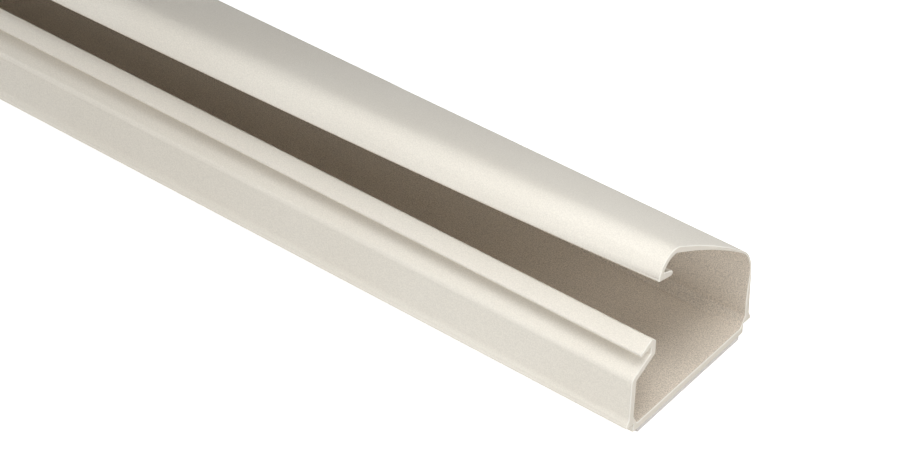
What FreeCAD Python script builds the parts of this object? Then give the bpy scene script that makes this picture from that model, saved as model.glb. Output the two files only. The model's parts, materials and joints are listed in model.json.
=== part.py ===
import FreeCAD, Part
import math
import os

import Sketcher
from FreeCAD import Vector

# A self-adhesive cord cover raceway: one extruded plastic channel whose lid is hinged along the
# rear wall and stands open, with a strip of mounting tape under its floor.
#
# X runs along the raceway, -Y is the front, where cords go in, and Z is up. The origin is on the
# underside of the tape, at the middle of its length and width.

# Driving dimensions in millimetres, angles in degrees
SIZES = {
    # Overall
    "raceway_length": 400.0,
    "body_width": 31.1,
    "hinge_height": 11.28,
    # Mounting tape, set in from the edges of the base that it is stuck under
    "tape_margin": 1.1,
    "tape_thickness": 0.7,
    # Base, set in from the walls above it, and the side ledges that fittings clip over
    "base_inset": 1.3,
    "floor_thickness": 1.25,
    "ledge_reach": 0.6,
    "ledge_height": 1.75,
    "ledge_thickness": 0.75,
    "ledge_lean": 0.12,
    "ledge_cove": 1.3,
    "ledge_round": 0.7,
    # Walls
    "front_wall": 1.15,
    "front_wall_height": 10.7,
    "rear_wall": 1.0,
    "rear_wall_lean": 0.58,
    "corner_across": 1.0,
    "corner_rise": 1.85,
    "corner_round": 0.8,
    # Shoulder and latch hook on the front wall
    "shoulder_angle": 27.5,
    "shoulder_thickness": 1.15,
    "shoulder_round": 1.2,
    "hook_reach": 5.55,
    "hook_thickness": 1.2,
    "hook_chamfer": 1.0,
    "hook_round": 0.5,
    "groove_height": 1.3,
    "groove_round": 0.2,
    "leaf_length": 2.6,
    "leaf_root": 1.45,
    "leaf_tip": 0.55,
    "leaf_droop": 0.4,
    "leaf_round": 0.15,
    # Living hinge
    "hinge_thickness": 0.33,
    "hinge_taper": 5.0,
    "bend_length": 6.5,
    # Lid: a curved plate and, along its free edge, a lip that turns back inwards. The bend at the
    # hinge and the crest of the lip take lid_ends of the span from the hinge to the hook's edge
    "lid_ends": 7.3,
    "plate_turn": 10.5,
    "lip_thickness": 1.0,
    "crest_radius": 3.35,
    "crest_turn": 97.0,
    "lip_drop": 1.2,
    "return_turn": 98.2,
    "return_round": 0.45,
    "return_length": 2.75,
    "return_tip": 0.45,
    "return_tip_turn": 170.0,
    # How far the lid stands open: it springs further open at the cut ends
    "open_angle": 25.8,
    "end_flare": 8.3,
    "flare_reach": 88.0,
}

# The lid's section is drawn at these shares of the length, measured from a cut end
LID_STATIONS = (0.0, 0.125, 0.25, 0.5)

# The hollow curve above a ledge has this share of the radius at which it would fill the whole cove,
# from the wall down to the ledge's leaning edge
COVE_SHARE = 0.65

SKETCH_NORMAL = Vector(0, 0, 1)
START = 1
END = 2
CENTRE = 3
ORIGIN = (-1, 1)


class Formula:
    """A number with the sheet formula that gives it."""

    def __init__(self, value, text):
        self.value = value
        self.text = text

    def __add__(self, other):
        return combined(self, "+", other, self.value + number(other))

    def __sub__(self, other):
        return combined(self, "-", other, self.value - number(other))

    def __mul__(self, other):
        return combined(self, "*", other, self.value * number(other))

    def __truediv__(self, other):
        return combined(self, "/", other, self.value / number(other))

    def __neg__(self):
        return Formula(-self.value, f"(-{self.text})")


def number(term):
    return term.value if isinstance(term, Formula) else term


def combined(left, sign, right, value):
    right_text = right.text if isinstance(right, Formula) else repr(right)
    return Formula(value, f"({left.text} {sign} {right_text})")


def size(name):
    return Formula(SIZES[name], f"Sizes.{name}")


def cosine(angle):
    return Formula(math.cos(math.radians(angle.value)), f"cos({angle.text})")


def tangent(angle):
    return Formula(math.tan(math.radians(angle.value)), f"tan({angle.text})")


def falling(term):
    """1 at the start, dying away as the term grows."""
    return Formula(math.exp(-term.value), f"exp(-{term.text})")


def radius_of(arc_length, turn):
    """The radius at which an arc of this length turns through this angle."""
    degrees_per_radian = Formula(180 / math.pi, "(180 / pi)")
    return degrees_per_radian * arc_length / turn


def add_sheet(document):
    sheet = document.addObject("Spreadsheet::Sheet", "Sizes")
    for row, (name, value) in enumerate(SIZES.items(), start=1):
        sheet.set(f"A{row}", name)
        sheet.set(f"B{row}", str(value))
        sheet.setAlias(f"B{row}", name)
    document.recompute()


def add_body(document, name):
    body = document.addObject("PartDesign::Body", name)
    body.Label = name
    return body


def cross_section_sketch(body, name, station=None):
    """A sketch across the raceway, with Y to its right and Z up, at a station along X."""
    plane = next(item for item in body.Origin.OriginFeatures if item.Role == "YZ_Plane")
    sketch = body.newObject("Sketcher::SketchObject", name)
    sketch.AttachmentSupport = [(plane, "")]
    sketch.MapMode = "FlatFace"
    if station is not None:
        sketch.AttachmentOffset.Base = Vector(0, 0, station.value)
        sketch.setExpression("AttachmentOffset.Base.z", station.text)
    return sketch


def bind(sketch, formula, kind, *geometry, angle=False):
    """Add one dimension to the sketch and drive it from the sheet."""
    value = math.radians(formula.value) if angle else formula.value
    index = sketch.addConstraint(Sketcher.Constraint(kind, *geometry, value))
    sketch.setExpression(f"Constraints[{index}]", formula.text)


def fix_point(sketch, point, across, up):
    """Hold a point of the sketch at its distances from the origin."""
    bind(sketch, across, "DistanceX", *ORIGIN, *point)
    bind(sketch, up, "DistanceY", *ORIGIN, *point)


def add_line(sketch, start, end):
    return sketch.addGeometry(Part.LineSegment(start, end))


def add_left_arc(sketch, centre, radius, start_angle, turn):
    circle = Part.Circle(centre, SKETCH_NORMAL, radius)
    return sketch.addGeometry(Part.ArcOfCircle(circle, start_angle, start_angle + turn))


def join_smoothly(sketch, first, first_end, second, second_end):
    sketch.addConstraint(Sketcher.Constraint("Tangent", first, first_end, second, second_end))


def direction(angle):
    return Vector(math.cos(angle), math.sin(angle), 0)


def corner_trim(before, corner, after, radius):
    """Where a rounding of this radius starts and ends beside a corner, and its centre."""
    back = (before - corner).normalize()
    on = (after - corner).normalize()
    half_angle = back.getAngle(on) / 2
    reach = radius / math.tan(half_angle)
    centre = corner + (back + on).normalize() * (radius / math.sin(half_angle))
    return corner + back * reach, corner + on * reach, centre


def draw_outline(sketch, corners):
    """A closed outline of straight sides through the corners (across, up, rounding or None)."""
    points = [Vector(across.value, up.value, 0) for across, up, rounding in corners]
    arrivals = []
    departures = []
    centres = []
    for index, (across, up, rounding) in enumerate(corners):
        corner = points[index]
        trim = (corner, corner, None)
        if rounding:
            after = points[(index + 1) % len(points)]
            trim = corner_trim(points[index - 1], corner, after, rounding.value)
        arrivals.append(trim[0])
        departures.append(trim[1])
        centres.append(trim[2])

    sides = []
    for index, start in enumerate(departures):
        sides.append(add_line(sketch, start, arrivals[(index + 1) % len(points)]))

    for index, (across, up, rounding) in enumerate(corners):
        arriving = sides[index - 1]
        leaving = sides[index]
        if rounding:
            round_corner(sketch, points[index], centres[index], arrivals[index], departures[index],
                         arriving, leaving, (across, up, rounding))
        else:
            sketch.addConstraint(Sketcher.Constraint("Coincident", arriving, END, leaving, START))
            fix_point(sketch, (leaving, START), across, up)


def round_corner(sketch, corner, centre, arrival, departure, arriving, leaving, drive):
    """An arc between two sides whose lines still meet at the corner point."""
    across, up, rounding = drive
    from_centre = arrival - centre
    to_centre = departure - centre
    turns_left = from_centre.cross(to_centre).z > 0
    first, last = (from_centre, to_centre) if turns_left else (to_centre, from_centre)
    start_angle = math.atan2(first.y, first.x)
    turn = first.getAngle(last)
    arc = add_left_arc(sketch, centre, rounding.value, start_angle, turn)
    arc_in, arc_out = (START, END) if turns_left else (END, START)
    join_smoothly(sketch, arriving, END, arc, arc_in)
    join_smoothly(sketch, arc, arc_out, leaving, START)
    bind(sketch, rounding, "Radius", arc)

    meeting_point = sketch.addGeometry(Part.Point(corner), True)
    fix_point(sketch, (meeting_point, START), across, up)
    for side in (arriving, leaving):
        sketch.addConstraint(Sketcher.Constraint("PointOnObject", meeting_point, START, side))


def add_pad(body, sketch, name):
    pad = body.newObject("PartDesign::Pad", name)
    pad.Profile = sketch
    pad.SideType = "Symmetric"
    pad.setExpression("Length", size("raceway_length").text)
    return pad


# Heights and half widths that several outlines share
UNDERSIDE = Formula(0.0, "0")
TAPE_TOP = size("tape_thickness")
HALF_BODY = size("body_width") / 2
HALF_BASE = HALF_BODY - size("base_inset")
HALF_TAPE = HALF_BASE - size("tape_margin")
BEND_LEVEL = TAPE_TOP + size("hinge_height")
REAR_WALL_TOP = HALF_BODY - size("rear_wall_lean")

# Places across the raceway along the latch hook
HOOK_FACE = -HALF_BODY + size("hook_reach")
GROOVE_BACK = HOOK_FACE - size("hook_thickness")
LEAF_END = GROOVE_BACK - size("leaf_length")
PLATE_LENGTH = REAR_WALL_TOP - LEAF_END - size("lid_ends")


def shoulder_and_hook():
    """The sloping shoulder and the folded-back hook, from the front wall's inner side."""
    rise = tangent(size("shoulder_angle"))
    wall_face = -HALF_BODY
    shoulder_start = TAPE_TOP + size("front_wall_height")
    drop_to_underside = size("shoulder_thickness") / cosine(size("shoulder_angle"))

    inner_face = wall_face + size("front_wall")
    groove_bottom = shoulder_start + (GROOVE_BACK - wall_face) * rise
    groove_top = groove_bottom + size("groove_height")
    hook_top = groove_top + size("leaf_root")
    leaf_under = groove_top - size("leaf_droop")
    inner_top = shoulder_start + size("front_wall") * rise - drop_to_underside
    hook_foot = shoulder_start + size("hook_reach") * rise - drop_to_underside

    return [
        (inner_face, inner_top, None),
        (HOOK_FACE, hook_foot, None),
        (HOOK_FACE, hook_top - size("hook_chamfer"), size("leaf_round")),
        (HOOK_FACE - size("hook_chamfer"), hook_top, size("hook_round")),
        (LEAF_END, leaf_under + size("leaf_tip"), size("leaf_round")),
        (LEAF_END + size("leaf_round"), leaf_under, size("leaf_round")),
        (GROOVE_BACK, groove_top, size("groove_round")),
        (GROOVE_BACK, groove_bottom, size("groove_round")),
        (wall_face, shoulder_start, size("shoulder_round")),
    ]


def channel_corners():
    """The fixed part of the section: floor, ledges, both walls, shoulder and hook.

    Each wall runs out into its ledge in a hollow curve, whose two tangents meet at the ledge's root.
    The ledge's edge leans, so that it reaches furthest at its underside.
    """
    reach = size("ledge_reach") - size("ledge_lean")
    rise = size("ledge_cove")
    ledge_shoulder = HALF_BODY + reach
    ledge_tip = HALF_BODY + size("ledge_reach")
    ledge_under = TAPE_TOP + size("ledge_height")
    ledge_top = ledge_under + size("ledge_thickness")
    ledge_root = ledge_top + (rise - reach * reach / rise) / 2
    cove = (reach + rise * rise / reach) / 2 * COVE_SHARE
    floor_top = TAPE_TOP + size("floor_thickness")
    slant_top = floor_top + size("corner_rise")
    front_face = -HALF_BODY + size("front_wall")
    rear_face = HALF_BODY - size("rear_wall")
    taper_level = BEND_LEVEL - size("hinge_taper")
    lean_at_taper = size("rear_wall_lean") * (taper_level - ledge_root) / (BEND_LEVEL - ledge_root)
    ledge_rounding = size("ledge_round")
    rounding = size("corner_round")

    return [
        (-HALF_BASE, TAPE_TOP, None),
        (HALF_BASE, TAPE_TOP, None),
        (HALF_BASE, ledge_under, None),
        (ledge_tip, ledge_under, None),
        (ledge_shoulder, ledge_top, ledge_rounding),
        (HALF_BODY, ledge_root, cove),
        (REAR_WALL_TOP, BEND_LEVEL, None),
        (REAR_WALL_TOP - size("hinge_thickness"), BEND_LEVEL, None),
        (rear_face - lean_at_taper, taper_level, None),
        (rear_face, slant_top, rounding),
        (rear_face - size("corner_across"), floor_top, rounding),
        (front_face + size("corner_across"), floor_top, rounding),
        (front_face, slant_top, rounding),
        *shoulder_and_hook(),
        (-HALF_BODY, ledge_root, cove),
        (-ledge_shoulder, ledge_top, ledge_rounding),
        (-ledge_tip, ledge_under, None),
        (-HALF_BASE, ledge_under, None),
    ]


class LidWalk:
    """Edges of the lid drawn one after another, each one leaving in the last one's direction."""

    def __init__(self, sketch, place, heading):
        self.sketch = sketch
        self.place = place
        self.heading = heading
        self.last = None

    def join(self, edge):
        if self.last is not None:
            join_smoothly(self.sketch, self.last, END, edge, START)
        self.last = edge
        return edge

    def arc(self, radius, turn):
        turn_angle = math.radians(turn.value)
        start_angle = self.heading - math.pi / 2
        centre = self.place - direction(start_angle) * radius.value
        edge = add_left_arc(self.sketch, centre, radius.value, start_angle, turn_angle)
        self.heading += turn_angle
        self.place = centre + direction(start_angle + turn_angle) * radius.value
        bind(self.sketch, radius, "Radius", edge)
        bind(self.sketch, turn, "Angle", edge, angle=True)
        return self.join(edge), centre

    def line(self, length):
        end = self.place + direction(self.heading) * length.value
        edge = add_line(self.sketch, self.place, end)
        self.place = end
        bind(self.sketch, length, "Distance", edge)
        return self.join(edge)


class LidSection:
    """The lid's closed section at one station: hinge bend, plate, crest, lip and return."""

    def __init__(self, sketch, open_angle):
        self.sketch = sketch
        self.bend_turn = -open_angle - size("plate_turn") / 2 + 90
        self.bend_radius = radius_of(size("bend_length"), self.bend_turn) + size("hinge_thickness") / 2
        self.plate_radius = radius_of(PLATE_LENGTH, size("plate_turn"))
        self.draw_outside()
        self.draw_inside()
        self.close_lip()
        self.close_hinge()

    def draw_outside(self):
        """One smooth chain from the rear wall's outer face to the tip of the inward return."""
        walk = LidWalk(self.sketch, Vector(REAR_WALL_TOP.value, BEND_LEVEL.value, 0), math.pi / 2)
        self.bend, self.bend_centre = walk.arc(self.bend_radius, self.bend_turn)
        walk.arc(self.plate_radius, size("plate_turn"))
        self.crest, self.crest_centre = walk.arc(size("crest_radius"), size("crest_turn"))
        self.lip_heading = walk.heading
        self.lip_front = walk.line(size("lip_drop"))
        walk.arc(size("return_round"), size("return_turn"))
        walk.line(size("return_length"))
        # The tip is drawn as two like arcs, because one arc that turns so far makes a poor patch
        half_tip_turn = size("return_tip_turn") / 2
        walk.arc(size("return_tip"), half_tip_turn)
        walk.arc(size("return_tip"), half_tip_turn)
        fix_point(self.sketch, (self.bend, START), REAR_WALL_TOP, BEND_LEVEL)
        bind(self.sketch, BEND_LEVEL, "DistanceY", *ORIGIN, self.bend, CENTRE)
        self.walk = walk

    def draw_inside(self):
        """A bend and a crest about the same centres as outside, and a plate of the same radius."""
        bend_radius = self.bend_radius - size("hinge_thickness")
        crest_radius = size("crest_radius") - size("lip_thickness")
        plate_centre = centre_inside(self.bend_centre, bend_radius.value, self.crest_centre,
                                     crest_radius.value, self.plate_radius.value)
        bend_end = angle_from(plate_centre, self.bend_centre)
        crest_start = angle_from(plate_centre, self.crest_centre)
        crest_end = self.lip_heading - math.pi / 2
        self.inner_bend = add_left_arc(self.sketch, self.bend_centre, bend_radius.value, 0, bend_end)
        inner_plate = add_left_arc(self.sketch, plate_centre, self.plate_radius.value,
                                   bend_end, crest_start - bend_end)
        self.inner_crest = add_left_arc(self.sketch, self.crest_centre, crest_radius.value,
                                        crest_start, crest_end - crest_start)
        self.hinge_inside = self.bend_centre + Vector(bend_radius.value, 0, 0)
        self.lip_top = self.crest_centre + direction(crest_end) * crest_radius.value

        join_smoothly(self.sketch, self.inner_crest, START, inner_plate, END)
        join_smoothly(self.sketch, inner_plate, START, self.inner_bend, END)
        for inner, outer in ((self.inner_crest, self.crest), (self.inner_bend, self.bend)):
            self.meet((inner, CENTRE), (outer, CENTRE))
        bind(self.sketch, bend_radius, "Radius", self.inner_bend)
        bind(self.sketch, crest_radius, "Radius", self.inner_crest)
        bind(self.sketch, self.plate_radius, "Radius", inner_plate)

    def close_lip(self):
        """The return's upper side and the lip's inner side, which meet in a sharp corner."""
        lip_way = direction(self.lip_heading)
        return_way = direction(self.walk.heading)
        gap = self.walk.place - self.lip_top
        down = gap.cross(return_way).z / lip_way.cross(return_way).z
        corner = self.lip_top + lip_way * down
        return_top = self.walk.join(add_line(self.sketch, self.walk.place, corner))
        lip_inside = add_line(self.sketch, corner, self.lip_top)
        self.meet((return_top, END), (lip_inside, START))
        self.sketch.addConstraint(Sketcher.Constraint("Parallel", lip_inside, self.lip_front))
        join_smoothly(self.sketch, lip_inside, END, self.inner_crest, END)

    def close_hinge(self):
        """The level foot of the bend, which stands on the thinned top of the rear wall."""
        outer_foot = Vector(REAR_WALL_TOP.value, BEND_LEVEL.value, 0)
        foot = add_line(self.sketch, self.hinge_inside, outer_foot)
        self.meet((self.inner_bend, START), (foot, START))
        self.meet((foot, END), (self.bend, START))
        self.sketch.addConstraint(Sketcher.Constraint("Horizontal", foot))

    def meet(self, first, second):
        self.sketch.addConstraint(Sketcher.Constraint("Coincident", *first, *second))


def centre_inside(first, first_radius, second, second_radius, radius):
    """The centre of the large circle that touches two circles inside it, below their line."""
    to_first = radius - first_radius
    to_second = radius - second_radius
    span = second - first
    along = (span.Length ** 2 + to_first ** 2 - to_second ** 2) / (2 * span.Length)
    off = math.sqrt(to_first ** 2 - along ** 2)
    unit = Vector(span).normalize()
    left = Vector(-unit.y, unit.x, 0)
    return first + unit * along + left * off


def angle_from(centre, point):
    offset = point - centre
    return math.atan2(offset.y, offset.x)


def lid_sections(body):
    """The lid's section from one cut end to the other, further open towards the ends."""
    length = size("raceway_length")
    near_half = [(share, -1) for share in LID_STATIONS]
    far_half = [(share, 1) for share in reversed(LID_STATIONS[:-1])]
    sections = []
    for index, (share, side) in enumerate(near_half + far_half):
        from_end = length * share
        station = (length / 2 - from_end) * side
        open_angle = size("open_angle") + size("end_flare") * falling(from_end / size("flare_reach"))
        sketch = cross_section_sketch(body, f"lid_section_{index}", station)
        LidSection(sketch, open_angle)
        sections.append(sketch)
    return sections


def add_channel(document):
    """The whole extrusion, one piece of plastic from the ledges to the lid's lip."""
    body = add_body(document, "raceway_channel")
    sketch = cross_section_sketch(body, "channel_section")
    draw_outline(sketch, channel_corners())
    add_pad(body, sketch, "channel_length")
    document.recompute()
    sections = lid_sections(body)
    lid = body.newObject("PartDesign::AdditiveLoft", "hinged_lid")
    lid.Profile = sections[0]
    lid.Sections = sections[1:]
    lid.Ruled = False
    body.Tip = lid
    return body


def add_tape(document):
    """The strip of double-sided mounting tape, narrower than the floor it is stuck under."""
    body = add_body(document, "mounting_tape")
    sketch = cross_section_sketch(body, "tape_section")
    draw_outline(sketch, [
        (-HALF_TAPE, UNDERSIDE, None),
        (HALF_TAPE, UNDERSIDE, None),
        (HALF_TAPE, TAPE_TOP, None),
        (-HALF_TAPE, TAPE_TOP, None),
    ])
    add_pad(body, sketch, "tape_length")
    return body


def check(document, parts):
    """Stop if anything failed to build."""
    for item in document.Objects:
        if "Invalid" in item.State or "Error" in item.State:
            raise RuntimeError(f"{item.Label} failed: {item.State}")
    for part in parts:
        if part.Shape.isNull() or not part.Shape.isValid():
            raise RuntimeError(f"{part.Label} has no valid shape")


def main():
    document = FreeCAD.newDocument("CordCoverRaceway")
    add_sheet(document)
    parts = [add_channel(document), add_tape(document)]
    document.recompute()
    check(document, parts)
    os.makedirs("parts", exist_ok=True)
    for part in parts:
        part.Shape.exportStep(f"parts/{part.Label}.step")
        print(part.Label, len(part.Shape.Solids), "solid", round(part.Shape.Volume, 3), "mm3")


main()
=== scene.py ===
import json
import math

import bpy
from bpy.props import FloatProperty, FloatVectorProperty, PointerProperty
from mathutils import Matrix, Vector

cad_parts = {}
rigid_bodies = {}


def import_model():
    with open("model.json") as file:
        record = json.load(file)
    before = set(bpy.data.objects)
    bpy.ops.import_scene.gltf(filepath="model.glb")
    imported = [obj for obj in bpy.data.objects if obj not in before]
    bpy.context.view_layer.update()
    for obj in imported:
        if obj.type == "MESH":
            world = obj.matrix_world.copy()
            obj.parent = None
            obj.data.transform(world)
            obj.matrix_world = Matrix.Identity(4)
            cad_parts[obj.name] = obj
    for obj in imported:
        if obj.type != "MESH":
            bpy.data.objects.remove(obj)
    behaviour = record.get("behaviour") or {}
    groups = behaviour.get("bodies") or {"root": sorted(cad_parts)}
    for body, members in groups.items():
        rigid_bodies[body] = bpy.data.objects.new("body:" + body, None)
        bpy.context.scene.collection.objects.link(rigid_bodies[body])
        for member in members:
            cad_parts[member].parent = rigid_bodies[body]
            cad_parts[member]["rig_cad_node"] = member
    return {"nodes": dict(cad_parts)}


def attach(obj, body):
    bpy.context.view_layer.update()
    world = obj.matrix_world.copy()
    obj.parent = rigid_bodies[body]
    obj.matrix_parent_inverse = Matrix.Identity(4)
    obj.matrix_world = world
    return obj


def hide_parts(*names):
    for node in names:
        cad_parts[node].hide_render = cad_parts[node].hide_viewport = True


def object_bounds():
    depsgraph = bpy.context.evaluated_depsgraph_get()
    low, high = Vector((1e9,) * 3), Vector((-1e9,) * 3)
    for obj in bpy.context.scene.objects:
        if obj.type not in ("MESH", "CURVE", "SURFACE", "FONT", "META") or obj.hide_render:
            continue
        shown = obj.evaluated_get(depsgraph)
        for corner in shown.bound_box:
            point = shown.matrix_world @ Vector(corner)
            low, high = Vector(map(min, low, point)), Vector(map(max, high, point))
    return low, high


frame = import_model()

bl_info = {
    "name": "Cord Cover Raceway",
    "version": (1, 0, 0),
    "blender": (4, 5, 0),
    "location": "View3D > Sidebar > Raceway",
    "description": "Finishes a cord cover raceway and its mounting tape on a pale studio floor",
    "category": "Object",
}

CAD_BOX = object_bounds()
HALF_LENGTH = CAD_BOX[1].x
HALF_WIDTH = CAD_BOX[1].y

# Where the photographer stood, in the part's frame: the near cut end is at +X and the slot faces -Y
CAMERA_PLACE = (0.36318, -0.27384, 0.28143)
CAMERA_RIGHT = (0.78654, 0.61724, 0.01947)
CAMERA_UP = (-0.39674, 0.48089, 0.78190)
CAMERA_LENS_MM = 114.8
CAMERA_SENSOR_MM = 36.0
CAMERA_CLIP = (0.01, 20)

# Softboxes, which all stand round the near cut end and face it: name, azimuth from the front
# towards the near end, elevation, distance, side, power in watts
SOFTBOX_TARGET = (0.2, 0.0, 0.015)
SOFTBOXES = (
    ("front_softbox", 15, 25, 0.60, 0.30, 0.82),
    ("left_softbox", -30, 12, 0.80, 0.35, 1.43),
    ("over_softbox", 0, 70, 0.50, 0.28, 0.17),
    ("top_softbox", 0, 75, 0.13, 0.08, 0.059),
    ("end_softbox", 90, 26, 0.24, 0.15, 0.18),
    ("high_softbox", 90, 75, 0.25, 0.12, 0.18),
    ("back_softbox", 180, 8, 0.80, 0.40, 0.46),
)

# Merging the triangles of the CAD mesh: points closer than this are one, and neighbouring faces
# that turn less than this, in degrees, join
MERGE_DISTANCE = 0.000001
FLAT_ANGLE = 0.05
# An edge closer than this to the widest place of the section belongs to a ledge's tip
EDGE_REACH = 0.00002
LEDGE_ROUND_STEPS = 4
# Surfaces that turn less than this, in degrees, look smooth
SMOOTH_ANGLE = 25
# A face is a cut face where its normal has more than this share along the length
CUT_FACE_NORMAL = 0.999

# The inside of the section, which gets painted shade: a browner, darker colour. Each pair is a run
# over which it blends in, in metres from the middle (the walls, the hinge) or from the ground (the
# floor and the rest)
WALL_INSIDES = (0.01458, 0.01475)
FLOOR_TOP = (0.00185, 0.00192)
SHOULDER_UNDERSIDE = (0.0104, 0.0120)
ABOVE_WALLS = (0.0095, 0.0105)
NEAR_HINGE = (0.006, 0.009)
# A face is turned down, or to the front, over these runs of its normal
TURNED_DOWN = (-0.3, -0.05)
TURNED_FORWARD = (-0.4, -0.1)

# The cut ends' mask fades over this run of depth, and the rim's mask over this much past the rim
SAWN_DEPTH = (0.000002, 0.000006)
RIM_FADE = 0.00002
# Saw marks lie this close, are turned by this many degrees and drawn out by this share
SAW_MARKS_PER_METRE = 5200
SAW_MARK_TURN = 24
SAW_MARK_STRETCH = 0.12
# Die lines lie this close across the section and are drawn out along the length by this share
DIE_LINES_PER_METRE = 1400
DIE_LINE_STRETCH = 0.004
# Noise keeps to the middle of its range, and these runs of it are spread from 0 to 1
NOISE_RUN = (0.3, 0.7)
SAW_MARK_RUN = (0.35, 0.65)

# Amounts of each effect in the plastic, and how dark it is as a share of the plain colour
PLASTIC_CLOUD_SIZE = 0.035
STREAK_AMOUNT = 0.05
STREAK_SHADE = 0.86
CUT_MARK_AMOUNT = 0.18
CUT_MARK_SHADE = 0.82
# What the grain adds to the roughness at its lowest and highest, and what the saw adds
PLASTIC_GRAIN_ROUGHNESS = (-0.04, 0.08)
CUT_ROUGHNESS = 0.2
PLASTIC_IOR = 1.53
SPECULAR_LEVEL = 0.2

# The same for the foam tape, with the run of distances from a cell's middle that its pore takes
# and the pore's depth as a share of the cell
TAPE_CLOUD_SIZE = 0.012
TAPE_CLOUD_AMOUNT = 0.2
TAPE_CLOUD_SHADE = 0.85
TAPE_MARK_AMOUNT = 0.25
TAPE_MARK_SHADE = 0.75
TAPE_GRAIN_ROUGHNESS = (-0.08, 0.08)
PORE_RUN = (0.1, 0.55)
PORE_AMOUNT = 0.55
PORE_DEPTH = 0.4

# The floor's faint mottling, its glow, and the colour of the room's light
MOTTLES_PER_METRE = 9
MOTTLE_AMOUNT = 0.05
MOTTLE_SHADE = 0.95
FLOOR_GLOW = 0.84
ROOM_COLOUR = (1, 0.995, 0.985)

# Sockets of a Mix node that mixes colours
MIX_FACTOR, MIX_FIRST, MIX_SECOND = 0, 6, 7
MIX_RESULT = 2


# Settings that a user would change

class RACEWAY_PG_plastic(bpy.types.PropertyGroup):
    colour: FloatVectorProperty(
        name="Ivory", description="Colour of the extruded plastic", subtype="COLOR",
        size=3, min=0, max=1, default=(0.80, 0.763, 0.686),
    )
    cloud_colour: FloatVectorProperty(
        name="Cloud", description="Slightly darker ivory that clouds the plastic over its length",
        subtype="COLOR", size=3, min=0, max=1, default=(0.775, 0.733, 0.652),
    )
    # Painted shade: a browner, darker ivory on the faces inside the channel and under the lid,
    # where shade falls
    painted_shade_colour: FloatVectorProperty(
        name="Inside", description="Browner ivory inside the channel and under the lid",
        subtype="COLOR", size=3, min=0, max=1, default=(0.728, 0.657, 0.566),
    )
    cut_colour: FloatVectorProperty(
        name="Cut Face", description="Paler colour of the sawn end faces",
        subtype="COLOR", size=3, min=0, max=1, default=(0.81, 0.76, 0.672),
    )
    # Painted highlight on the broken edges of the sawn ends, together with the whitening of their
    # burr
    rim_highlight_and_whitening: FloatVectorProperty(
        name="Cut Rim", description="Whitened plastic along the broken edges of the sawn ends",
        subtype="COLOR", size=3, min=0, max=1, default=(0.90, 0.87, 0.80),
    )
    roughness: FloatProperty(
        name="Roughness", description="Base roughness of the satin surface",
        subtype="FACTOR", min=0, max=1, default=0.55,
    )
    grain_size: FloatProperty(
        name="Grain Size", description="Distance between the grains of the matte texture",
        subtype="DISTANCE", unit="LENGTH", min=0.00005, max=0.005, default=0.00018, precision=5,
    )
    speckle: FloatProperty(
        name="Speckle", description="How much the grains vary in lightness on the outside",
        subtype="FACTOR", min=0, max=1, default=0.12,
    )
    inner_speckle: FloatProperty(
        name="Inside Speckle",
        description="How much the grains vary in lightness inside the channel",
        subtype="FACTOR", min=0, max=1, default=0.48,
    )
    grain_depth: FloatProperty(
        name="Grain Depth", description="Height of the matte texture",
        subtype="DISTANCE", unit="LENGTH", min=0, max=0.0005, default=0.00001, precision=6,
    )
    line_depth: FloatProperty(
        name="Die Line Depth",
        description="Height of the faint lines that the die leaves along the length",
        subtype="DISTANCE", unit="LENGTH", min=0, max=0.0005, default=0.000004, precision=6,
    )
    edge_break: FloatProperty(
        name="Edge Break", description="Width of the tiny chamfer round the cut faces",
        subtype="DISTANCE", unit="LENGTH", min=0.00002, max=0.00014, default=0.00011, precision=5,
    )
    ledge_round: FloatProperty(
        name="Ledge Round", description="Rounding of the lower edges of the two side ledges",
        subtype="DISTANCE", unit="LENGTH", min=0.0001, max=0.0003, default=0.00022, precision=5,
    )


class RACEWAY_PG_tape(bpy.types.PropertyGroup):
    colour: FloatVectorProperty(
        name="Foam", description="Colour of the foam tape", subtype="COLOR",
        size=3, min=0, max=1, default=(0.87, 0.835, 0.81),
    )
    pore_colour: FloatVectorProperty(
        name="Pores", description="Darker colour in the foam's open cells", subtype="COLOR",
        size=3, min=0, max=1, default=(0.74, 0.70, 0.69),
    )
    cell_size: FloatProperty(
        name="Cell Size", description="Size of the foam's cells",
        subtype="DISTANCE", unit="LENGTH", min=0.00005, max=0.002, default=0.00022, precision=5,
    )
    roughness: FloatProperty(
        name="Roughness", description="Roughness of the foam",
        subtype="FACTOR", min=0, max=1, default=0.85,
    )


class RACEWAY_PG_studio(bpy.types.PropertyGroup):
    floor_colour: FloatVectorProperty(
        name="Floor", description="Colour of the studio floor", subtype="COLOR",
        size=3, min=0, max=1, default=(0.80, 0.795, 0.785),
    )
    floor_size: FloatProperty(
        name="Floor Size", description="Side of the square floor",
        subtype="DISTANCE", unit="LENGTH", min=1, max=20, default=6,
    )
    room_light: FloatProperty(
        name="Room Light", description="Strength of the even light from the whole room",
        min=0, max=2, default=0.12,
    )
    lamp_level: FloatProperty(
        name="Lamp Level", description="Level of all the softboxes together",
        subtype="FACTOR", min=0, max=4, default=1,
    )


# Small helpers for shader trees

def new_material(name):
    material = bpy.data.materials.new(name)
    material.use_nodes = True
    tree = material.node_tree
    tree.nodes.clear()
    return material, tree


def node(tree, kind, **settings):
    made = tree.nodes.new(kind)
    for name, value in settings.items():
        setattr(made, name, value)
    return made


def link(tree, source, target):
    tree.links.new(source, target)


def maths(tree, operation, first, second=None, clamp=False):
    """The result of a Math node, whose operands are sockets or numbers."""
    made = node(tree, "ShaderNodeMath", operation=operation, use_clamp=clamp)
    for socket, value in zip(made.inputs, (first, second)):
        if value is None:
            continue
        if isinstance(value, (int, float)):
            socket.default_value = value
        else:
            link(tree, value, socket)
    return made.outputs[0]


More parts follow.
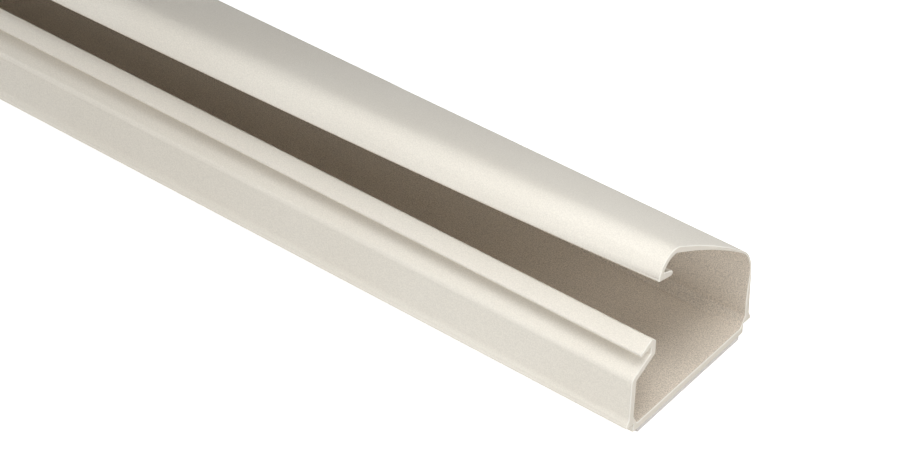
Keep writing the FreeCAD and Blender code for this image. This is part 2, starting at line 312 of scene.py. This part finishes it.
def mix_colour(tree, factor, first, second):
    """The first colour where the factor is 0 and the second where it is 1."""
    made = node(tree, "ShaderNodeMix", data_type="RGBA")
    for number, value in ((MIX_FACTOR, factor), (MIX_FIRST, first), (MIX_SECOND, second)):
        if isinstance(value, bpy.types.NodeSocket):
            link(tree, value, made.inputs[number])
        else:
            made.inputs[number].default_value = value
    return made.outputs[MIX_RESULT]


def remap(tree, value, run, to_low, to_high, smooth=False):
    """The value spread from its run, a low and a high end, over another."""
    made = node(tree, "ShaderNodeMapRange", interpolation_type="SMOOTHSTEP" if smooth else "LINEAR")
    link(tree, value, made.inputs["Value"])
    made.inputs["From Min"].default_value, made.inputs["From Max"].default_value = run
    made.inputs["To Min"].default_value = to_low
    made.inputs["To Max"].default_value = to_high
    return made.outputs["Result"]


def noise(tree, vector, scale, detail, roughness=0.5):
    made = node(tree, "ShaderNodeTexNoise")
    link(tree, vector, made.inputs["Vector"])
    if isinstance(scale, bpy.types.NodeSocket):
        link(tree, scale, made.inputs["Scale"])
    else:
        made.inputs["Scale"].default_value = scale
    made.inputs["Detail"].default_value = detail
    made.inputs["Roughness"].default_value = roughness
    return made.outputs["Fac"]


def new_group(name, inputs, outputs):
    """An empty node group with its named sockets, and its two end nodes."""
    group = bpy.data.node_groups.new(name, "ShaderNodeTree")
    for socket_name, kind, default in inputs:
        socket = group.interface.new_socket(name=socket_name, in_out="INPUT", socket_type=kind)
        if default is not None:
            socket.default_value = default
    for socket_name, kind in outputs:
        group.interface.new_socket(name=socket_name, in_out="OUTPUT", socket_type=kind)
    entry = group.nodes.new("NodeGroupInput")
    leave = group.nodes.new("NodeGroupOutput")
    return group, entry, leave


def use_group(tree, group, **values):
    made = node(tree, "ShaderNodeGroup", node_tree=group)
    for name, value in values.items():
        socket = made.inputs[name.replace("_", " ")]
        if isinstance(value, bpy.types.NodeSocket):
            link(tree, value, socket)
        else:
            socket.default_value = value
    return made


def rgba(colour):
    return (*colour, 1.0)


def shaded(colour, share):
    """The colour darkened to this share of its lightness."""
    return rgba(share * part for part in colour)


def speckled(tree, colour, grain, amount):
    """The colour, lighter and darker by turns with the grain around its own lightness."""
    swing = maths(tree, "MULTIPLY", maths(tree, "SUBTRACT", 0.5, grain), amount)
    scaled = node(tree, "ShaderNodeVectorMath", operation="SCALE")
    link(tree, colour, scaled.inputs[0])
    link(tree, maths(tree, "ADD", swing, 1), scaled.inputs["Scale"])
    return scaled.outputs[0]


# Effects that more than one finish uses

def surface_grain():
    """Fine speckle and slow clouds, for moulded plastic and foam alike."""
    name = "Surface Grain"
    if name in bpy.data.node_groups:
        return bpy.data.node_groups[name]
    group, entry, leave = new_group(
        name,
        [("Vector", "NodeSocketVector", None), ("Grain Size", "NodeSocketFloat", 0.0004),
         ("Cloud Size", "NodeSocketFloat", 0.03)],
        [("Grain", "NodeSocketFloat"), ("Clouds", "NodeSocketFloat")],
    )
    grain_scale = maths(group, "DIVIDE", 1.0, entry.outputs["Grain Size"])
    cloud_scale = maths(group, "DIVIDE", 1.0, entry.outputs["Cloud Size"])
    grain = noise(group, entry.outputs["Vector"], grain_scale, detail=1)
    clouds = noise(group, entry.outputs["Vector"], cloud_scale, detail=2)
    link(group, remap(group, grain, NOISE_RUN, 0, 1), leave.inputs["Grain"])
    link(group, remap(group, clouds, NOISE_RUN, 0, 1, smooth=True), leave.inputs["Clouds"])
    return group


def sawn_end():
    """Masks of the two cut ends and of their broken rims, and the marks that the saw leaves."""
    name = "Sawn End"
    if name in bpy.data.node_groups:
        return bpy.data.node_groups[name]
    group, entry, leave = new_group(
        name,
        [("Vector", "NodeSocketVector", None), ("Half Length", "NodeSocketFloat", 0.2),
         ("Rim Depth", "NodeSocketFloat", 0.0001)],
        [("Mask", "NodeSocketFloat"), ("Rim", "NodeSocketFloat"), ("Marks", "NodeSocketFloat")],
    )
    split = node(group, "ShaderNodeSeparateXYZ")
    link(group, entry.outputs["Vector"], split.inputs[0])
    from_middle = maths(group, "ABSOLUTE", split.outputs["X"])
    depth = maths(group, "SUBTRACT", entry.outputs["Half Length"], from_middle)
    mask = remap(group, depth, SAWN_DEPTH, 1, 0)
    past_rim = maths(group, "SUBTRACT", depth, entry.outputs["Rim Depth"])
    near_end = remap(group, past_rim, (0, RIM_FADE), 1, 0)
    rim = maths(group, "SUBTRACT", near_end, mask, clamp=True)
    turned = node(group, "ShaderNodeMapping")
    link(group, entry.outputs["Vector"], turned.inputs["Vector"])
    turned.inputs["Rotation"].default_value = (math.radians(SAW_MARK_TURN), 0, 0)
    turned.inputs["Scale"].default_value = (1, SAW_MARK_STRETCH, 1)
    marks = noise(group, turned.outputs[0], SAW_MARKS_PER_METRE, detail=2, roughness=0.7)
    link(group, mask, leave.inputs["Mask"])
    link(group, rim, leave.inputs["Rim"])
    link(group, remap(group, marks, SAW_MARK_RUN, 0, 1), leave.inputs["Marks"])
    return group


def die_lines(tree, vector):
    """Streaks that run the whole length, as the die drags them."""
    drawn_out = node(tree, "ShaderNodeMapping", label="Drawn out along the length")
    link(tree, vector, drawn_out.inputs["Vector"])
    drawn_out.inputs["Scale"].default_value = (DIE_LINE_STRETCH, 1, 1)
    streaks = noise(tree, drawn_out.outputs[0], DIE_LINES_PER_METRE, detail=3, roughness=0.65)
    return remap(tree, streaks, NOISE_RUN, 0, 1)


def painted_shade_mask(tree, place, normal):
    """A mask of the faces inside the channel and under the shoulder, the hook and the lid, where
    shade is painted.
    """
    at = node(tree, "ShaderNodeSeparateXYZ")
    link(tree, place, at.inputs[0])
    facing = node(tree, "ShaderNodeSeparateXYZ")
    link(tree, normal, facing.inputs[0])
    from_middle = maths(tree, "ABSOLUTE", at.outputs["Y"])
    between_walls = remap(tree, from_middle, WALL_INSIDES, 1, 0)
    above_floor = remap(tree, at.outputs["Z"], FLOOR_TOP, 0, 1)
    below_shoulder = remap(tree, at.outputs["Z"], SHOULDER_UNDERSIDE, 1, 0, smooth=True)
    over_floor = maths(tree, "MULTIPLY", between_walls, above_floor)
    in_channel = maths(tree, "MULTIPLY", over_floor, below_shoulder)
    high = remap(tree, at.outputs["Z"], ABOVE_WALLS, 0, 1, smooth=True)
    downward = remap(tree, facing.outputs["Z"], TURNED_DOWN, 1, 0)
    overhead = maths(tree, "MULTIPLY", high, downward)
    at_hinge = remap(tree, at.outputs["Y"], NEAR_HINGE, 0, 1, smooth=True)
    forward = remap(tree, facing.outputs["Y"], TURNED_FORWARD, 1, 0)
    hinge_inside = maths(tree, "MULTIPLY", maths(tree, "MULTIPLY", at_hinge, forward), high)
    under_lid = maths(tree, "MAXIMUM", overhead, hinge_inside)
    return maths(tree, "MAXIMUM", in_channel, under_lid)


# Finishes

def ivory_plastic(look):
    """Ivory vinyl: clouded and streaked outside, with painted shade that browns it inside, pale and
    sawn at the ends, with a painted highlight and whitening on the cut rims.
    """
    material, tree = new_material("ivory_extrusion")
    coordinates = node(tree, "ShaderNodeTexCoord")
    place = coordinates.outputs["Object"]
    grain = use_group(tree, surface_grain(), Vector=place,
                      Grain_Size=look.grain_size, Cloud_Size=PLASTIC_CLOUD_SIZE)
    sawn = use_group(tree, sawn_end(), Vector=place,
                     Half_Length=HALF_LENGTH, Rim_Depth=look.edge_break)
    lines = die_lines(tree, place)

    clouded = mix_colour(tree, grain.outputs["Clouds"], rgba(look.colour), rgba(look.cloud_colour))
    # Painted shade: the faces inside the channel and under the lid take the browner, darker colour
    inside = painted_shade_mask(tree, place, coordinates.outputs["Normal"])
    clouded = mix_colour(tree, inside, clouded, rgba(look.painted_shade_colour))
    streak = maths(tree, "MULTIPLY", lines, STREAK_AMOUNT)
    streaked = mix_colour(tree, streak, clouded, shaded(look.colour, STREAK_SHADE))
    amount = remap(tree, inside, (0, 1), look.speckle, look.inner_speckle)
    skin = speckled(tree, streaked, grain.outputs["Grain"], amount)
    mark = maths(tree, "MULTIPLY", sawn.outputs["Marks"], CUT_MARK_AMOUNT)
    cut = mix_colour(tree, mark, rgba(look.cut_colour), shaded(look.cut_colour, CUT_MARK_SHADE))
    # The cut rims get a painted highlight together with the whitening of the burr
    highlighted_and_whitened = mix_colour(tree, sawn.outputs["Rim"], skin, rgba(look.rim_highlight_and_whitening))
    colour = mix_colour(tree, sawn.outputs["Mask"], highlighted_and_whitened, cut)

    low, high = (look.roughness + change for change in PLASTIC_GRAIN_ROUGHNESS)
    grain_rough = remap(tree, grain.outputs["Grain"], (0, 1), low, high)
    cut_rough = maths(tree, "MULTIPLY", sawn.outputs["Mask"], CUT_ROUGHNESS)
    rough = maths(tree, "ADD", grain_rough, cut_rough, clamp=True)

    shader = node(tree, "ShaderNodeBsdfPrincipled")
    shader.inputs["IOR"].default_value = PLASTIC_IOR
    shader.inputs["Specular IOR Level"].default_value = SPECULAR_LEVEL
    link(tree, colour, shader.inputs["Base Color"])
    link(tree, rough, shader.inputs["Roughness"])

    grain_bump = node(tree, "ShaderNodeBump")
    grain_bump.inputs["Distance"].default_value = look.grain_depth
    link(tree, grain.outputs["Grain"], grain_bump.inputs["Height"])
    line_bump = node(tree, "ShaderNodeBump")
    line_bump.inputs["Distance"].default_value = look.line_depth
    link(tree, lines, line_bump.inputs["Height"])
    link(tree, grain_bump.outputs["Normal"], line_bump.inputs["Normal"])
    link(tree, line_bump.outputs["Normal"], shader.inputs["Normal"])

    link(tree, shader.outputs[0], node(tree, "ShaderNodeOutputMaterial").inputs["Surface"])
    return material


def foam_tape(look):
    """Pale foam with open cells, dragged by the saw at its two ends."""
    material, tree = new_material("foam_tape")
    place = node(tree, "ShaderNodeTexCoord").outputs["Object"]
    grain = use_group(tree, surface_grain(), Vector=place,
                      Grain_Size=look.cell_size, Cloud_Size=TAPE_CLOUD_SIZE)
    sawn = use_group(tree, sawn_end(), Vector=place, Half_Length=HALF_LENGTH)
    cells = node(tree, "ShaderNodeTexVoronoi", feature="SMOOTH_F1")
    link(tree, place, cells.inputs["Vector"])
    cells.inputs["Scale"].default_value = 1 / look.cell_size
    pores = remap(tree, cells.outputs["Distance"], PORE_RUN, 1, 0, smooth=True)

    pore = maths(tree, "MULTIPLY", pores, PORE_AMOUNT)
    pored = mix_colour(tree, pore, rgba(look.colour), rgba(look.pore_colour))
    cloud = maths(tree, "MULTIPLY", grain.outputs["Clouds"], TAPE_CLOUD_AMOUNT)
    clouded = mix_colour(tree, cloud, pored, shaded(look.colour, TAPE_CLOUD_SHADE))
    dragged = maths(tree, "MULTIPLY", sawn.outputs["Mask"], sawn.outputs["Marks"])
    mark = maths(tree, "MULTIPLY", dragged, TAPE_MARK_AMOUNT)
    colour = mix_colour(tree, mark, clouded, shaded(look.colour, TAPE_MARK_SHADE))
    low, high = (look.roughness + change for change in TAPE_GRAIN_ROUGHNESS)
    rough = remap(tree, grain.outputs["Grain"], (0, 1), low, high)

    shader = node(tree, "ShaderNodeBsdfPrincipled")
    shader.inputs["Specular IOR Level"].default_value = SPECULAR_LEVEL
    link(tree, colour, shader.inputs["Base Color"])
    link(tree, rough, shader.inputs["Roughness"])
    bump = node(tree, "ShaderNodeBump", invert=True)
    bump.inputs["Distance"].default_value = look.cell_size * PORE_DEPTH
    link(tree, pores, bump.inputs["Height"])
    link(tree, bump.outputs["Normal"], shader.inputs["Normal"])
    link(tree, shader.outputs[0], node(tree, "ShaderNodeOutputMaterial").inputs["Surface"])
    return material


def seen_directly(tree):
    """1 for rays from the camera, off glossy surfaces and through clear ones."""
    path = node(tree, "ShaderNodeLightPath")
    seen = maths(tree, "MAXIMUM", path.outputs["Is Camera Ray"], path.outputs["Is Glossy Ray"])
    return maths(tree, "MAXIMUM", seen, path.outputs["Is Transmission Ray"])


def studio_floor(look):
    """A pale floor that looks white where the light reaches it and keeps the raceway's shadow."""
    material, tree = new_material("studio_floor")
    place = node(tree, "ShaderNodeTexCoord").outputs["Object"]
    blotches = noise(tree, place, MOTTLES_PER_METRE, detail=3)
    spread = remap(tree, blotches, NOISE_RUN, 0, 1, smooth=True)
    mottle = maths(tree, "MULTIPLY", spread, MOTTLE_AMOUNT)
    mottled = shaded(look.floor_colour, MOTTLE_SHADE)
    colour = mix_colour(tree, mottle, rgba(look.floor_colour), mottled)
    matte = node(tree, "ShaderNodeBsdfDiffuse")
    link(tree, colour, matte.inputs["Color"])
    glow = node(tree, "ShaderNodeEmission")
    glow.inputs["Strength"].default_value = FLOOR_GLOW
    bright = node(tree, "ShaderNodeAddShader")
    link(tree, matte.outputs[0], bright.inputs[0])
    link(tree, glow.outputs[0], bright.inputs[1])
    shown = node(tree, "ShaderNodeMixShader")
    link(tree, seen_directly(tree), shown.inputs[0])
    link(tree, matte.outputs[0], shown.inputs[1])
    link(tree, bright.outputs[0], shown.inputs[2])
    link(tree, shown.outputs[0], node(tree, "ShaderNodeOutputMaterial").inputs["Surface"])
    return material


# Operators

def dress(node_name, material):
    """Give a CAD node its finish through its material slot."""
    piece = frame["nodes"][node_name]
    if not piece.material_slots:
        piece.data.materials.append(material)
    for slot in piece.material_slots:
        slot.material = material


def merged_copy(node_name, name):
    """A copy of a CAD node with its triangles merged into the flat faces that they make up."""
    bpy.ops.object.select_all(action="DESELECT")
    source = frame["nodes"][node_name]
    source.select_set(True)
    bpy.context.view_layer.objects.active = source
    bpy.ops.object.duplicate()
    piece = bpy.context.active_object
    del piece["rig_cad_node"]
    piece.name = name
    piece.data.name = name
    bpy.ops.object.mode_set(mode="EDIT")
    bpy.ops.mesh.select_all(action="SELECT")
    bpy.ops.mesh.remove_doubles(threshold=MERGE_DISTANCE)
    bpy.ops.mesh.dissolve_limited(angle_limit=math.radians(FLAT_ANGLE))
    bpy.ops.object.mode_set(mode="OBJECT")
    return piece


def round_ledges(piece, radius):
    """Round the lower edges of the two side ledges, which are the widest edges of the section."""
    bpy.ops.object.mode_set(mode="EDIT")
    bpy.ops.mesh.select_mode(type="EDGE")
    bpy.ops.mesh.select_all(action="DESELECT")
    bpy.ops.object.mode_set(mode="OBJECT")
    points = [vertex.co for vertex in piece.data.vertices]
    for edge in piece.data.edges:
        start, end = (points[number] for number in edge.vertices)
        lengthwise = abs(end.x - start.x) > HALF_LENGTH
        at_tip = all(HALF_WIDTH - abs(point.y) < EDGE_REACH for point in (start, end))
        edge.select = lengthwise and at_tip
    bpy.ops.object.mode_set(mode="EDIT")
    bpy.ops.mesh.bevel(
        offset=radius, offset_type="OFFSET", segments=LEDGE_ROUND_STEPS, affect="EDGES",
    )
    bpy.ops.object.mode_set(mode="OBJECT")


def break_rims(piece, width):
    """Chamfer the rims of both cut faces, as the saw and the deburring knife leave them.

    Each cut face moves in by the chamfer's width and is then inset back out, which leaves the
    chamfer round it.
    """
    for side in (-1, 1):
        bpy.ops.object.mode_set(mode="EDIT")
        bpy.ops.mesh.select_mode(type="FACE")
        bpy.ops.mesh.select_all(action="DESELECT")
        bpy.ops.object.mode_set(mode="OBJECT")
        for face in piece.data.polygons:
            face.select = face.normal.x * side > CUT_FACE_NORMAL
        bpy.ops.object.mode_set(mode="EDIT")
        bpy.ops.transform.translate(value=(-side * width, 0, 0))
        bpy.ops.mesh.inset(thickness=width, depth=width, use_even_offset=True)
        bpy.ops.object.mode_set(mode="OBJECT")
    bpy.ops.object.shade_smooth_by_angle(angle=math.radians(SMOOTH_ANGLE))


class RACEWAY_OT_extrusion(bpy.types.Operator):
    """Finish the extruded channel with its hinged lid in satin ivory plastic"""

    bl_idname = "raceway.extrusion"
    bl_label = "Extrusion"
    bl_options = {"REGISTER", "UNDO"}

    def execute(self, context):
        look = context.scene.raceway_plastic
        channel = merged_copy("raceway_channel", "raceway_extrusion")
        round_ledges(channel, look.ledge_round)
        break_rims(channel, look.edge_break)
        channel.data.materials.clear()
        channel.data.materials.append(ivory_plastic(look))
        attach(channel, "root")
        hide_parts("raceway_channel")
        return {"FINISHED"}


class RACEWAY_OT_tape(bpy.types.Operator):
    """Finish the strip of mounting tape in fine closed-cell foam"""

    bl_idname = "raceway.tape"
    bl_label = "Mounting Tape"
    bl_options = {"REGISTER", "UNDO"}

    def execute(self, context):
        dress("mounting_tape", foam_tape(context.scene.raceway_tape))
        return {"FINISHED"}


class RACEWAY_OT_studio(bpy.types.Operator):
    """Set the floor, the lamps, the room light and the camera"""

    bl_idname = "raceway.studio"
    bl_label = "Studio"
    bl_options = {"REGISTER", "UNDO"}

    def execute(self, context):
        look = context.scene.raceway_studio
        self.add_floor(look)
        self.add_room(context.scene, look)
        self.add_lamps(look)
        self.add_camera(context.scene)
        context.scene.view_settings.view_transform = "Standard"
        return {"FINISHED"}

    def add_floor(self, look):
        bpy.ops.object.select_all(action="DESELECT")
        bpy.ops.mesh.primitive_plane_add(size=look.floor_size)
        floor = bpy.context.active_object
        floor.name = "studio_floor"
        floor.data.materials.append(studio_floor(look))

    def add_room(self, scene, look):
        world = bpy.data.worlds.new("studio_room")
        world.use_nodes = True
        tree = world.node_tree
        tree.nodes.clear()
        background = node(tree, "ShaderNodeBackground")
        background.inputs["Color"].default_value = rgba(ROOM_COLOUR)
        strength = remap(tree, seen_directly(tree), (0, 1), look.room_light, 1)
        link(tree, strength, background.inputs["Strength"])
        link(tree, background.outputs[0], node(tree, "ShaderNodeOutputWorld").inputs["Surface"])
        scene.world = world

    def add_lamps(self, look):
        for name, azimuth, elevation, distance, side, power in SOFTBOXES:
            turn, rise = math.radians(azimuth), math.radians(elevation)
            level = math.cos(rise)
            outward = Vector((math.sin(turn) * level, -math.cos(turn) * level, math.sin(rise)))
            place = Vector(SOFTBOX_TARGET) + outward * distance
            bpy.ops.object.light_add(type="AREA", location=place)
            lamp = bpy.context.active_object
            lamp.name = name
            lamp.data.size = side
            lamp.data.energy = power * look.lamp_level
            lamp.rotation_euler = (-outward).to_track_quat("-Z", "Y").to_euler()
            lamp.visible_camera = False

    def add_camera(self, scene):
        bpy.ops.object.camera_add()
        camera = bpy.context.active_object
        camera.name = "photo_camera"
        right = Vector(CAMERA_RIGHT).normalized()
        up = Vector(CAMERA_UP).normalized()
        back = right.cross(up)
        turn = Matrix((right, up, back)).transposed().to_4x4()
        camera.matrix_world = Matrix.Translation(CAMERA_PLACE) @ turn
        camera.data.sensor_fit = "HORIZONTAL"
        camera.data.sensor_width = CAMERA_SENSOR_MM
        camera.data.lens = CAMERA_LENS_MM
        camera.data.clip_start, camera.data.clip_end = CAMERA_CLIP
        scene.camera = camera


class RACEWAY_PT_panel(bpy.types.Panel):
    """Sizes, colours and steps of the cord cover raceway"""

    bl_idname = "RACEWAY_PT_panel"
    bl_label = "Cord Cover Raceway"
    bl_space_type = "VIEW_3D"
    bl_region_type = "UI"
    bl_category = "Raceway"

    def draw(self, context):
        for step, settings in STEPS:
            box = self.layout.box()
            group = getattr(context.scene, settings)
            for name in group.bl_rna.properties.keys():
                if name not in ("rna_type", "name"):
                    box.prop(group, name)
            box.operator(step)


STEPS = (
    ("raceway.extrusion", "raceway_plastic"),
    ("raceway.tape", "raceway_tape"),
    ("raceway.studio", "raceway_studio"),
)

CLASSES = (
    RACEWAY_PG_plastic,
    RACEWAY_PG_tape,
    RACEWAY_PG_studio,
    RACEWAY_OT_extrusion,
    RACEWAY_OT_tape,
    RACEWAY_OT_studio,
    RACEWAY_PT_panel,
)


def register():
    for item in CLASSES:
        bpy.utils.register_class(item)
    bpy.types.Scene.raceway_plastic = PointerProperty(type=RACEWAY_PG_plastic)
    bpy.types.Scene.raceway_tape = PointerProperty(type=RACEWAY_PG_tape)
    bpy.types.Scene.raceway_studio = PointerProperty(type=RACEWAY_PG_studio)


def unregister():
    del bpy.types.Scene.raceway_studio
    del bpy.types.Scene.raceway_tape
    del bpy.types.Scene.raceway_plastic
    for item in reversed(CLASSES):
        bpy.utils.unregister_class(item)


def main():
    register()
    bpy.ops.raceway.extrusion()
    bpy.ops.raceway.tape()
    bpy.ops.raceway.studio()


if __name__ == "__main__":
    main()
